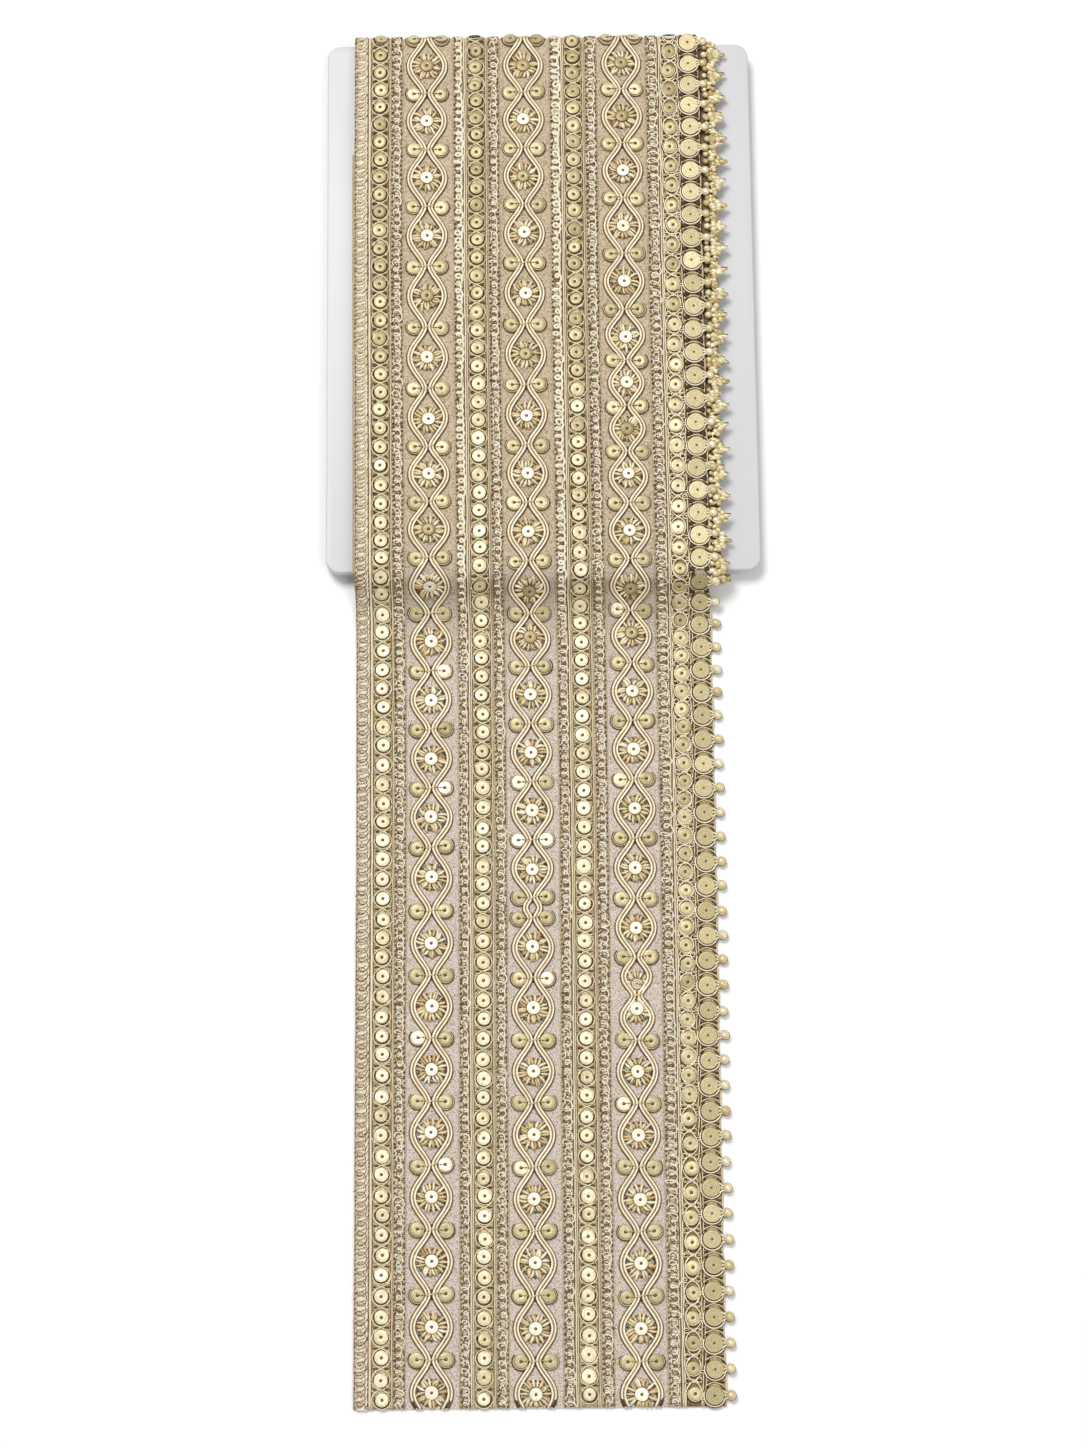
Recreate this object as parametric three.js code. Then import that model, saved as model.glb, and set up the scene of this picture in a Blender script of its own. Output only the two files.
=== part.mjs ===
// Embroidered sequin trim wound flat round a board, with its cut end lying out in front.
// Millimetres, +Z up. X runs across the trim and -Y is the way the loose end lies.
// The sheet is followed by its length s from the cut end: up the loose end, over the
// board, down behind its far edge, back under it, and so on to the end wound in first.
// Across the sheet a place is u, from the trim's left edge, and above it n, from its middle.
import * as THREE from 'three';

// Driving dimensions.
const board = { width: 125, length: 164, thickness: 3, corner: 4 };
const sheet = { left: -54.2, width: 102, thickness: 1 };
const gap = 0.3;
const looseEnd = 237.7;
const fall = { angle: 50, topRadius: 5, footRadius: 14 };
const climb = { length: 30, steps: 3 };
const innerEndSetback = 35;
const turnsUnderBoard = 2;
const longestFacet = 60;
const needleworkTurn = 112.5;

// Height that each kind of needlework stands above its underside.
const height = { thread: 0.6, sequins: 0.7, cord: 0.9, drops: 0.9 };

// How far the trim strays sideways from true, by length from the cut end.
const sideways = [
  { s: 0, x: -0.2 },
  { s: 60, x: 0 },
  { s: 170, x: 0.35 },
  { s: 215, x: 0.3 },
  { s: 242, x: 0 },
  { s: 330, x: -0.3 },
  { s: 405, x: -0.2 },
  { s: 582, x: 2.8 },
  { s: 748, x: 4.2 },
  { s: 918, x: -0.7 },
  { s: 1060, x: -1 },
];

// Thread bands, and a band of small scrolls, by their edges across the trim.
const threadBands = [
  { name: 'edge_braid', from: 0, to: 4.7 },
  { name: 'thread_band_1', from: 10.6, to: 14.4 },
  { name: 'thread_band_2', from: 29.0, to: 32.6 },
  { name: 'thread_band_3', from: 39.2, to: 42.9 },
  { name: 'thread_band_4', from: 57.5, to: 61.4 },
  { name: 'thread_band_5', from: 67.9, to: 71.8 },
  { name: 'thread_band_6', from: 86.0, to: 90.4 },
  { name: 'scroll_band', from: 90.8, to: 95.8 },
];
const sequinRows = [
  { name: 'sequin_row_1', centre: 7.6 },
  { name: 'sequin_row_2', centre: 35.9 },
  { name: 'sequin_row_3', centre: 64.6 },
];
const sequin = { pitch: 5.6, halfWidth: 2.6, halfNeck: 1.6 };

// Ogee columns: the first eyelet's place, then how many follow at each pitch.
const ogeeColumns = [
  {
    name: 'ogee_cord_1',
    centre: 21.4,
    first: 4.3,
    runs: [[7, 17.9], [1, 19.3], [5, 17.3], [3, 16.7], [3, 19.0], [5, 18.1]],
  },
  {
    name: 'ogee_cord_2',
    centre: 49.9,
    first: 3.7,
    runs: [[7, 17.85], [1, 22.2], [4, 17.1], [1, 14.4], [3, 17.6], [3, 18.9], [5, 17.9]],
  },
  {
    name: 'ogee_cord_3',
    centre: 79.0,
    first: 3.4,
    runs: [[6, 17.85], [1, 23.2], [5, 17.3], [1, 14.1], [2, 17.0], [3, 14.0], [7, 17.4]],
  },
];

// One eyelet from a waist (0) towards its middle (0.5), as parts of its length: the
// cord's inner and outer edge from the column's centre. Its other half mirrors this.
// About the waist the two cords touch, and a sequin lies on each side of them.
const eyelet = [
  { at: 0, inner: 0, outer: 6.2 },
  { at: 0.125, inner: 0, outer: 1.9 },
  { at: 0.36, inner: 4.3, outer: 5.7 },
];

// Bead drops along the right edge, one beside each large sequin.
const drops = {
  first: 1.8,
  from: 96.1,
  underFrom: 99.7,
  rim: 101.9,
  tip: 104.6,
  halfBead: 1.2,
  halfStem: 1.7,
  tailPitch: 7.2,
  boardPitch: 6.5,
};

const degree = Math.PI / 180;
const offsetOfTurn = (turn) => gap + sheet.thickness / 2 + turn * (sheet.thickness + gap);
const outerTurn = turnsUnderBoard;
const boardBase = offsetOfTurn(outerTurn) - sheet.thickness / 2 - gap;
const boardTop = boardBase + board.thickness;
const cutY = -(board.length / 2 + looseEnd);

function lookUp(rows, key, s) {
  const after = rows.findIndex((row) => row.s >= s);
  if (after < 0) return rows[rows.length - 1][key];
  if (after === 0) return rows[0][key];
  const a = rows[after - 1];
  const b = rows[after];
  return THREE.MathUtils.mapLinear(s, a.s, b.s, a[key], b[key]);
}

// The middle of the sheet seen from the side, drawn like a walk of lines and bends.
const path = [];
const pen = { s: 0, y: cutY, z: sheet.thickness / 2, heading: 0 };

function mark() {
  path.push({ ...pen, x: sheet.left + lookUp(sideways, 'x', pen.s) });
}

function walk(length, chord = length) {
  pen.y += chord * Math.cos(pen.heading);
  pen.z += chord * Math.sin(pen.heading);
  pen.s += length;
}

function line(length) {
  const steps = Math.ceil(length / longestFacet);
  for (let i = 0; i < steps; i += 1) {
    walk(length / steps);
    mark();
  }
}

function bend(radius, angle, steps) {
  const half = (angle * degree) / steps / 2;
  for (let i = 0; i < steps; i += 1) {
    pen.heading += half;
    walk(radius * Math.abs(2 * half), radius * 2 * Math.sin(Math.abs(half)));
    pen.heading += half;
    mark();
  }
}

// A turn climbs by one layer over the turn below it, or steps down again.
function stepDown() {
  const drop = sheet.thickness + gap;
  const slope = 2 * Math.atan(drop / climb.length);
  const radius = drop / 2 / (1 - Math.cos(slope));
  bend(radius, -slope / degree, climb.steps);
  bend(radius, slope / degree, climb.steps);
}

function roundBoardEdge(radius) {
  bend(radius, -90, 4);
  line(board.thickness);
  bend(radius, -90, 4);
}

function drawLooseEnd() {
  const rise = boardTop + offsetOfTurn(outerTurn) - sheet.thickness / 2;
  const angle = fall.angle * degree;
  const radii = fall.topRadius + fall.footRadius;
  const slope = (rise - radii * (1 - Math.cos(angle))) / Math.sin(angle);
  const reach = radii * Math.sin(angle) + slope * Math.cos(angle);
  mark();
  line(looseEnd - reach);
  bend(fall.footRadius, fall.angle, 6);
  line(slope);
  bend(fall.topRadius, -fall.angle, 5);
}

const places = {};
drawLooseEnd();
places.overNearEdge = pen.s;
for (let turn = outerTurn - 1; turn >= 0; turn -= 1) {
  line(board.length - climb.length);
  stepDown();
  roundBoardEdge(offsetOfTurn(turn));
  line(board.length);
  roundBoardEdge(offsetOfTurn(turn));
  if (turn === outerTurn - 1) places.secondFront = pen.s;
}
line(board.length - innerEndSetback);

// The outer turn's needlework runs over the far edge and down behind it, and ends
// where it would turn under the board.
const farEdge = places.overNearEdge + board.length;
const roundFarEdge = offsetOfTurn(outerTurn - 1) * (needleworkTurn * degree);
const needleworkEnd = farEdge + roundFarEdge + board.thickness;

function pointAt(s, u, n) {
  const heading = lookUp(path, 'heading', s);
  return [
    lookUp(path, 'x', s) + u,
    lookUp(path, 'y', s) - n * Math.sin(heading),
    lookUp(path, 'z', s) + n * Math.cos(heading),
  ];
}

// Rows of a strip, with the path's own stations added wherever the strip passes one.
function withPathStations(rows, keys) {
  const first = rows[0].s;
  const last = rows[rows.length - 1].s;
  const merged = [...rows];
  path.forEach(({ s }) => {
    const near = rows.some((row) => Math.abs(row.s - s) < 0.05);
    if (near || s < first || s > last) return;
    const row = { s };
    keys.forEach((key) => { row[key] = lookUp(rows, key, s); });
    merged.push(row);
  });
  return merged.sort((a, b) => a.s - b.s);
}

class Body {
  constructor(low, high) {
    this.low = low;
    this.high = high;
    this.points = [];
    this.triangles = [];
  }

  // A post is a pair of points, one at the underside and one at the top.
  post(s, u) {
    this.points.push(...pointAt(s, u, this.low), ...pointAt(s, u, this.high));
    const top = this.points.length / 3 - 1;
    return { low: top - 1, high: top };
  }

  quad(a, b, c, d) {
    this.triangles.push(a, b, c, a, c, d);
  }

  // Top and underside between two posts of one station and two of the next.
  floorAndTop(left, right, nextLeft, nextRight) {
    this.quad(left.low, nextLeft.low, nextRight.low, right.low);
    this.quad(left.high, right.high, nextRight.high, nextLeft.high);
  }

  // A wall that faces to the right of the way from one post to the next.
  wall(post, next) {
    this.quad(post.low, next.low, next.high, post.high);
  }

  geometry() {
    const shape = new THREE.BufferGeometry();
    shape.setAttribute('position', new THREE.Float32BufferAttribute(this.points, 3));
    shape.setIndex(this.triangles);
    shape.computeVertexNormals();
    return shape;
  }
}

// A strip between a left and a right edge that may change along its length.
function strip(rows, low, high) {
  const body = new Body(low, high);
  const posts = withPathStations(rows, ['left', 'right']).map(({ s, left, right }) => ({
    left: body.post(s, left),
    right: body.post(s, right),
  }));
  posts.slice(1).forEach((next, i) => {
    const here = posts[i];
    body.floorAndTop(here.left, here.right, next.left, next.right);
    body.wall(here.right, next.right);
    body.wall(next.left, here.left);
  });
  const last = posts[posts.length - 1];
  body.wall(posts[0].left, posts[0].right);
  body.wall(last.right, last.left);
  return body.geometry();
}

// Two cords side by side about a centre line, joined wherever both inner edges are 0.
function cordPair(rows, centre, low, high) {
  const body = new Body(low, high);
  const posts = withPathStations(rows, ['inner', 'outer']).map(({ s, inner, outer }) => {
    const innerLeft = body.post(s, centre - inner);
    return {
      met: inner === 0,
      outerLeft: body.post(s, centre - outer),
      innerLeft,
      innerRight: inner === 0 ? innerLeft : body.post(s, centre + inner),
      outerRight: body.post(s, centre + outer),
    };
  });
  posts.slice(1).forEach((next, i) => {
    const here = posts[i];
    body.floorAndTop(here.outerLeft, here.innerLeft, next.outerLeft, next.innerLeft);
    body.floorAndTop(here.innerRight, here.outerRight, next.innerRight, next.outerRight);
    body.wall(next.outerLeft, here.outerLeft);
    body.wall(here.outerRight, next.outerRight);
    if (here.met && next.met) return;
    body.wall(here.innerLeft, next.innerLeft);
    body.wall(next.innerRight, here.innerRight);
  });
  const [first] = posts;
  const last = posts[posts.length - 1];
  body.wall(first.outerLeft, first.innerLeft);
  body.wall(first.innerRight, first.outerRight);
  body.wall(last.innerLeft, last.outerLeft);
  body.wall(last.outerRight, last.innerRight);
  return body.geometry();
}

// Keeps the rows that lie between two lengths and closes them with a row at each.
function cutTo(rows, from, to, keys) {
  const inside = rows.filter(({ s }) => s > from + 0.2 && s < to - 0.2);
  const endRow = (s) => {
    const row = { s };
    keys.forEach((key) => { row[key] = lookUp(rows, key, s); });
    return row;
  };
  return [endRow(from), ...inside, endRow(to)];
}

function centresEvery(pitchAt, from, to) {
  const centres = [];
  for (let s = from; s < to; s += pitchAt(s)) centres.push(s);
  return centres;
}

// A row of round sequins in their cord rings, as a strip with a waist between each two.
function sequinRowEdges(centre) {
  const { pitch, halfWidth, halfNeck } = sequin;
  const rows = [];
  centresEvery(() => pitch, -pitch, needleworkEnd + pitch).forEach((s) => {
    rows.push({ s, left: centre - halfWidth, right: centre + halfWidth });
    const neck = s + pitch / 2;
    rows.push({ s: neck, left: centre - halfNeck, right: centre + halfNeck });
  });
  return cutTo(rows, 0, needleworkEnd, ['left', 'right']);
}

// Each eyelet reaches half way to its neighbours' middles.
function ogeeRows({ first, runs }) {
  const middles = [first - runs[0][1], first];
  runs.forEach(([count, pitch]) => {
    for (let i = 0; i < count; i += 1) middles.push(middles[middles.length - 1] + pitch);
  });
  const rows = [];
  for (let i = 1; i < middles.length - 1; i += 1) {
    const before = middles[i] - middles[i - 1];
    const after = middles[i + 1] - middles[i];
    eyelet.forEach(({ at, inner, outer }) => {
      rows.push({ s: middles[i] - (0.5 - at) * before, inner, outer });
    });
    [...eyelet].reverse().slice(0, -1).forEach(({ at, inner, outer }) => {
      rows.push({ s: middles[i] + (0.5 - at) * after, inner, outer });
    });
  }
  return cutTo(rows, 0, needleworkEnd, ['inner', 'outer']);
}

function dropRows(from, to, left) {
  const pitchAt = (s) => (s < places.overNearEdge ? drops.tailPitch : drops.boardPitch);
  const rows = [];
  const start = from + drops.first - drops.tailPitch;
  centresEvery(pitchAt, start, to + drops.tailPitch).forEach((s) => {
    rows.push({ s: s - drops.halfStem, left, right: drops.rim });
    rows.push({ s: s - drops.halfBead, left, right: drops.tip });
    rows.push({ s: s + drops.halfBead, left, right: drops.tip });
    rows.push({ s: s + drops.halfStem, left, right: drops.rim });
  });
  return cutTo(rows, from, to, ['left', 'right']);
}

function boardShape() {
  const x = board.width / 2;
  const y = board.length / 2;
  const r = board.corner;
  const outline = new THREE.Shape();
  outline.absarc(x - r, y - r, r, 0, Math.PI / 2);
  outline.absarc(-x + r, y - r, r, Math.PI / 2, Math.PI);
  outline.absarc(-x + r, -y + r, r, Math.PI, 1.5 * Math.PI);
  outline.absarc(x - r, -y + r, r, 1.5 * Math.PI, 2 * Math.PI);
  const options = { depth: board.thickness, bevelEnabled: false, curveSegments: 4 };
  return new THREE.ExtrudeGeometry(outline, options).translate(0, 0, boardBase);
}

const material = {
  board: new THREE.MeshStandardMaterial({ color: 0xf1f1f2, roughness: 0.6, metalness: 0 }),
  net: new THREE.MeshStandardMaterial({ color: 0xcfc4b8, roughness: 0.9, metalness: 0 }),
  thread: new THREE.MeshStandardMaterial({ color: 0xd9cba2, roughness: 0.6, metalness: 0.3 }),
  cord: new THREE.MeshStandardMaterial({ color: 0xdcca94, roughness: 0.4, metalness: 0.5 }),
  sequin: new THREE.MeshStandardMaterial({ color: 0xe3d7a6, roughness: 0.3, metalness: 0.7 }),
};

const trim = new THREE.Group();

function add(name, geometry, look) {
  const mesh = new THREE.Mesh(geometry, look);
  mesh.name = name;
  trim.add(mesh);
}

// Needlework stands a gap clear of the sheet's outer face.
const base = sheet.thickness / 2 + gap;

add('board', boardShape(), material.board);

const wholeSheet = [0, pen.s].map((s) => ({ s, left: 0, right: sheet.width }));
add('trim_ground', strip(wholeSheet, -sheet.thickness / 2, sheet.thickness / 2), material.net);

threadBands.forEach(({ name, from, to }) => {
  const rows = [0, needleworkEnd].map((s) => ({ s, left: from, right: to }));
  add(name, strip(rows, base, base + height.thread), material.thread);
});

sequinRows.forEach(({ name, centre }) => {
  const rows = sequinRowEdges(centre);
  add(name, strip(rows, base, base + height.sequins), material.sequin);
});

ogeeColumns.forEach((column) => {
  const rows = ogeeRows(column);
  add(column.name, cordPair(rows, column.centre, base, base + height.cord), material.cord);
});

const edging = dropRows(0, needleworkEnd, drops.from);
add('bead_edging', strip(edging, base, base + height.drops), material.sequin);

// On the board the second turn's drops show past the edge of the turn that lies on it.
const underStart = places.secondFront;
const underEnd = underStart + board.length;
const underEdging = dropRows(underStart, underEnd, drops.underFrom);
add('under_edging', strip(underEdging, base, base + height.drops), material.sequin);

// The origin is under the middle of the whole piece.
const farReach = board.length / 2 + offsetOfTurn(outerTurn - 1) + base + height.cord;
trim.position.y = -(farReach + cutY) / 2;

export default trim;
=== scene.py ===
"""Embroidered sequin trim wound flat round a white board, its cut end lying out in front.

Lengths are in millimetres until a mesh is made, and MM turns them into metres. A place on
the trim is s, the length from the cut end; u, the way across from its left edge; and h, the
height above the net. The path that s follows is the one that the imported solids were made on.
"""

import math

import bpy
import numpy as np
from mathutils import Matrix, Vector


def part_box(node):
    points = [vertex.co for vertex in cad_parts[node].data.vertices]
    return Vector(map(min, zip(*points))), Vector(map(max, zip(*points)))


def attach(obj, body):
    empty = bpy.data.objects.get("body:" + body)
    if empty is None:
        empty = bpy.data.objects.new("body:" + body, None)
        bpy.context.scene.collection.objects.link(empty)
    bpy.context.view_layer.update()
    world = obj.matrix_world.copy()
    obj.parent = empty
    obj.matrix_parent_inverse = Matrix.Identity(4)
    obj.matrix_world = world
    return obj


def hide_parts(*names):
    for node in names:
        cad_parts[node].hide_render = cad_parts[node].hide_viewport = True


MM = 0.001

# The solids' driving sizes.
BOARD_LENGTH = 164.0
BOARD_THICKNESS = 3.0
BOARD_WIDTH = 125.0
BOARD_CORNER = 4.0
SHEET_LEFT = -54.2
SHEET_WIDTH = 102.0
SHEET_THICKNESS = 1.0
GAP = 0.3
LOOSE_END = 237.7
FALL_ANGLE = 50.0
FALL_TOP_RADIUS = 5.0
FALL_FOOT_RADIUS = 14.0
CLIMB_LENGTH = 30.0
INNER_END_SETBACK = 35.0
OUTER_TURN = 2

# How far the trim strays sideways, by length from the cut end.
SIDEWAYS = [
    (0, -0.2),
    (60, 0.0),
    (170, 0.35),
    (215, 0.3),
    (242, 0.0),
    (330, -0.3),
    (405, -0.2),
    (582, 2.8),
    (748, 4.2),
    (918, -0.7),
    (1060, -1.0),
]

# Thread bands (left edge, right edge), sequin rows and ogee columns, across the trim.
EDGE_BRAID = (0.0, 4.7)
THREAD_BANDS = [(10.6, 14.4), (29.0, 32.6), (39.2, 42.9), (57.5, 61.4), (67.9, 71.8), (86.0, 90.4)]
SEQUIN_ROWS = [7.6, 35.9, 64.6]
OGEE_COLUMNS = [
    (21.4, 4.3, [(7, 17.9), (1, 19.3), (5, 17.3), (3, 16.7), (3, 19.0), (20, 18.1)]),
    (49.9, 3.7, [(7, 17.85), (1, 22.2), (4, 17.1), (1, 14.4), (3, 17.6), (3, 18.9), (20, 17.9)]),
    (79.0, 3.4, [(6, 17.85), (1, 23.2), (5, 17.3), (1, 14.1), (2, 17.0), (3, 14.0), (20, 17.4)]),
]
SCROLL_CENTRE = 93.2
LARGE_SEQUINS = 98.9
BEAD_CENTRE = 103.3
# The cord along the sheet's right edge, and how the edge sways.
HEM_CORD = 101.75
HEM_SWING = 0.25
HEM_WAVE = 4.3


def rng(seed):
    return np.random.default_rng(seed)


# The path of the sheet's middle, seen from the side.


class Path:
    """Walks lines and bends, and keeps a fine list of stations along them."""

    step = 0.8

    def __init__(self, y, z):
        self.y, self.z, self.heading, self.s = y, z, 0.0, 0.0
        self.rows = [(0.0, y, z, 0.0)]

    def forward(self, length, chord):
        self.y += chord * math.cos(self.heading)
        self.z += chord * math.sin(self.heading)
        self.s += length

    def mark(self):
        self.rows.append((self.s, self.y, self.z, self.heading))

    def line(self, length):
        steps = max(1, round(length / 20))
        for _ in range(steps):
            self.forward(length / steps, length / steps)
            self.mark()

    def bend(self, radius, degrees):
        angle = math.radians(degrees)
        steps = max(6, math.ceil(radius * abs(angle) / self.step))
        half = angle / steps / 2
        for _ in range(steps):
            self.heading += half
            self.forward(radius * abs(2 * half), radius * 2 * math.sin(abs(half)))
            self.heading += half
            self.mark()


def offset_of(turn):
    """How far a turn's middle lies off the board's face."""
    return GAP + SHEET_THICKNESS / 2 + turn * (SHEET_THICKNESS + GAP)


BOARD_BASE = offset_of(OUTER_TURN) - SHEET_THICKNESS / 2 - GAP
BOARD_TOP = BOARD_BASE + BOARD_THICKNESS


def walk_the_trim():
    path = Path(-(BOARD_LENGTH / 2 + LOOSE_END), SHEET_THICKNESS / 2)
    angle = math.radians(FALL_ANGLE)
    radii = FALL_TOP_RADIUS + FALL_FOOT_RADIUS
    rise = BOARD_TOP + offset_of(OUTER_TURN) - SHEET_THICKNESS / 2
    slope = (rise - radii * (1 - math.cos(angle))) / math.sin(angle)
    reach = radii * math.sin(angle) + slope * math.cos(angle)
    path.line(LOOSE_END - reach)
    path.bend(FALL_FOOT_RADIUS, FALL_ANGLE)
    path.line(slope)
    path.bend(FALL_TOP_RADIUS, -FALL_ANGLE)
    places = {"near_edge": path.s}
    drop = SHEET_THICKNESS + GAP
    climb = 2 * math.degrees(math.atan(drop / CLIMB_LENGTH))
    climb_radius = drop / 2 / (1 - math.cos(math.radians(climb)))
    for turn in range(OUTER_TURN - 1, -1, -1):
        radius = offset_of(turn)
        path.line(BOARD_LENGTH - CLIMB_LENGTH)
        path.bend(climb_radius, -climb)
        path.bend(climb_radius, climb)
        for _ in range(2):
            path.bend(radius, -90)
            path.line(BOARD_THICKNESS)
            path.bend(radius, -90)
            if f"back_{turn}" not in places:
                places[f"back_{turn}"] = path.s
                path.line(BOARD_LENGTH)
        places[f"front_{turn}"] = path.s
    path.line(BOARD_LENGTH - INNER_END_SETBACK)
    places["inner_end"] = path.s
    return np.array(path.rows), places


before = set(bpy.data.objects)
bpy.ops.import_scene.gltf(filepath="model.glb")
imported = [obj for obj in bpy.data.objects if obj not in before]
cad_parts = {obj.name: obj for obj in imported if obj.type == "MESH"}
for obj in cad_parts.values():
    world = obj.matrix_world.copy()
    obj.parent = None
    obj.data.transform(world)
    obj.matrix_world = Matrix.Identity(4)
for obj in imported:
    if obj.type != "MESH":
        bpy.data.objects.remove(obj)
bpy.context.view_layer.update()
board_low, board_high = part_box("board")
BOARD_Y = (board_low.y + board_high.y) / 2 / MM

STATIONS, PLACES = walk_the_trim()
NEAR_EDGE = PLACES["near_edge"]
FAR_EDGE = NEAR_EDGE + BOARD_LENGTH
BACK_START = PLACES["back_1"]
BACK_END = BACK_START + BOARD_LENGTH
NEEDLEWORK_END = BACK_END + 2.0


def side_drift(s):
    """The sideways table, eased from row to row."""
    at = np.array([row[0] for row in SIDEWAYS], float)
    value = np.array([row[1] for row in SIDEWAYS], float)
    i = np.clip(np.searchsorted(at, s) - 1, 0, len(at) - 2)
    t = np.clip((s - at[i]) / (at[i + 1] - at[i]), 0, 1)
    return value[i] + (value[i + 1] - value[i]) * t * t * (3 - 2 * t)


def ease(x, low, high):
    t = np.clip((x - low) / (high - low), 0, 1)
    return t * t * (3 - 2 * t)


def beneath(s):
    """One where the trim runs under the board, easing off round the board's edges."""
    return ease(s, FAR_EDGE + 3, BACK_START) * (1 - ease(s, BACK_END + 1, PLACES["front_1"] - 3))


def in_sight(s):
    """False for needlework of the outer turn that lies under the board."""
    return (s < FAR_EDGE + 6) | (s > BACK_END + 1.5)


def run_of(step):
    """Stations for a long thread, wider apart under the board."""
    shown = np.arange(0, FAR_EDGE + 6, step)
    return np.append(shown, np.arange(FAR_EDGE + 7, NEEDLEWORK_END, 2.5 * step))


def net_level(s):
    """The net's own height in the sheet: needlework under the board has less room."""
    return -0.42 * beneath(s)


def heading(s):
    return np.interp(s, STATIONS[:, 0], STATIONS[:, 3])


def normal(s):
    angle = heading(s)
    return np.stack([np.zeros_like(angle), -np.sin(angle), np.cos(angle)], -1)


def along(s):
    angle = heading(s)
    return np.stack([np.zeros_like(angle), np.cos(angle), np.sin(angle)], -1)


def place(s, u, h):
    """Points in millimetres for arrays of s, u and h of one shape."""
    s, u, h = np.broadcast_arrays(*(np.asarray(v, float) for v in (s, u, h)))
    under = beneath(s)
    rise = h * (1 - under) + np.minimum(h, 0.5) * under
    n = net_level(s) + rise
    inside = np.clip(s, 0, STATIONS[-1, 0])
    y = np.interp(inside, STATIONS[:, 0], STATIONS[:, 1]) + np.minimum(s, 0)
    z = np.interp(inside, STATIONS[:, 0], STATIONS[:, 2])
    middle = np.stack([SHEET_LEFT + side_drift(s) + u, y + BOARD_Y, z], -1)
    return middle + normal(s) * n[..., None]


# Meshes from arrays.


FLOOR_GAP = 0.05


def unit(v):
    return v / np.maximum(np.linalg.norm(v, axis=-1, keepdims=True), 1e-9)


def turned_rings(s, u, h, profile, around, tilt):
    centre = place(s, u, h)
    side, way, up = np.zeros_like(centre), along(s), normal(s)
    side[..., 0] = 1
    up = unit(up + tilt[:, :1] * side + tilt[:, 1:] * way)
    side = unit(side - (side * up).sum(-1, keepdims=True) * up)
    way = np.cross(up, side)
    angle = np.arange(around) * 2 * math.pi / around
    r, height = profile[..., 0], profile[..., 1]
    ring = np.cos(angle)[:, None] * side[:, None, :] + np.sin(angle)[:, None] * way[:, None, :]
    points = centre[:, None, None] + r[:, :, None, None] * ring[:, None]
    points = points + height[:, :, None, None] * up[:, None, None]
    lowest = points[..., 2].min(axis=(1, 2))
    points[..., 2] += np.maximum(FLOOR_GAP - lowest, 0)[:, None, None]
    return points


class Soup:
    """Many closed shapes joined in one mesh. Each is a set of rings lofted together."""

    def __init__(self):
        self.points, self.faces, self.tones, self.count = [], [], [], 0

    def loft(self, rings, tone=0.5, closed=False):
        """rings is shaped (items, rings, points round, 3); tone is one value an item."""
        items, n, k, _ = rings.shape
        index = np.arange(items * n * k).reshape(items, n, k) + self.count
        nxt = np.roll(index, -1, axis=2)
        upper, upper_next = (index, nxt) if closed else (index[:, :-1], nxt[:, :-1])
        lower = np.roll(index, -1, axis=1) if closed else index[:, 1:]
        lower_next = np.roll(nxt, -1, axis=1) if closed else nxt[:, 1:]
        quads = np.stack([upper, lower, lower_next, upper_next], -1)
        self.faces += quads.reshape(-1, 4).tolist()
        if not closed:
            self.faces += index[:, 0].tolist()
            self.faces += index[:, -1, ::-1].tolist()
        self.points.append(rings.reshape(-1, 3))
        tone = np.asarray(tone, float)
        tone = np.broadcast_to(tone if tone.ndim == 2 else tone.reshape(-1, 1), (items, n))
        self.tones.append(np.repeat(tone.ravel(), k))
        self.count += items * n * k

    def tubes(self, s, u, h, radius, sides=6, tone=0.5):
        """Threads along the trim: s, u and h are shaped (threads, points).

        A short thread that is out of sight under the board is left out.
        """
        s, u, h, radius = np.broadcast_arrays(*(np.atleast_2d(v) for v in (s, u, h, radius)))
        if len(s) > 1:
            seen = in_sight(s.mean(axis=1))
            tone = np.broadcast_to(tone, (len(s),))[seen]
            s, u, h, radius = (v[seen] for v in (s, u, h, radius))
        centre = place(s, u, h)
        centre[..., 2] = np.maximum(centre[..., 2], radius + FLOOR_GAP)
        way = unit(np.gradient(centre, axis=1))
        across = unit(np.cross(way, normal(s)))
        up = np.cross(across, way)
        angle = np.arange(sides) * 2 * math.pi / sides + math.pi / sides
        ring = np.cos(angle)[:, None] * across[..., None, :] + np.sin(angle)[:, None] * up[..., None, :]
        self.loft(centre[..., None, :] + radius[..., None, None] * ring, tone)

    def turned(self, s, u, h, profile, around, tilt, tone, closed, under=True):
        """Discs and beads: profile rows are (radius, height), turned about the normal.

        Those under the board are coarser, or left out where under is False.
        """
        s, u, h = (np.asarray(v, float) for v in np.broadcast_arrays(s, u, h))
        profile = np.asarray(profile, float)
        profile = np.broadcast_to(profile, (len(s),) + profile.shape[-2:])
        tone = np.asarray(tone, float)
        tone = np.broadcast_to(tone if tone.ndim == 2 else tone.reshape(-1, 1), profile.shape[:2])
        seen = in_sight(s)
        for some, points in ((seen, around), (~seen & under, around // 2)):
            if some.any():
                rings = turned_rings(s[some], u[some], h[some], profile[some], points, tilt[some])
                self.loft(rings, tone[some], closed)

    def build(self, name, material, slot, replaces=()):
        points = np.concatenate(self.points)
        return add_piece(name, points, self.faces, np.concatenate(self.tones), material, replaces)


def add_piece(name, points, faces, tones, material, replaces=()):
    """A piece with a smooth mesh from points in millimetres, and one tone a point."""
    mesh = bpy.data.meshes.new(name)
    mesh.from_pydata((points * MM).tolist(), [], faces)
    mesh.polygons.foreach_set("use_smooth", np.ones(len(mesh.polygons), bool))
    tone = mesh.attributes.new("tone", "FLOAT", "POINT")
    tone.data.foreach_set("value", tones.astype(np.float32))
    piece = bpy.data.objects.new(name, mesh)
    bpy.context.scene.collection.objects.link(piece)
    piece.data.materials.append(material)
    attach(piece, "root")
    if replaces:
        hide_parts(*replaces)
    return piece


# Materials.


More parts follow.
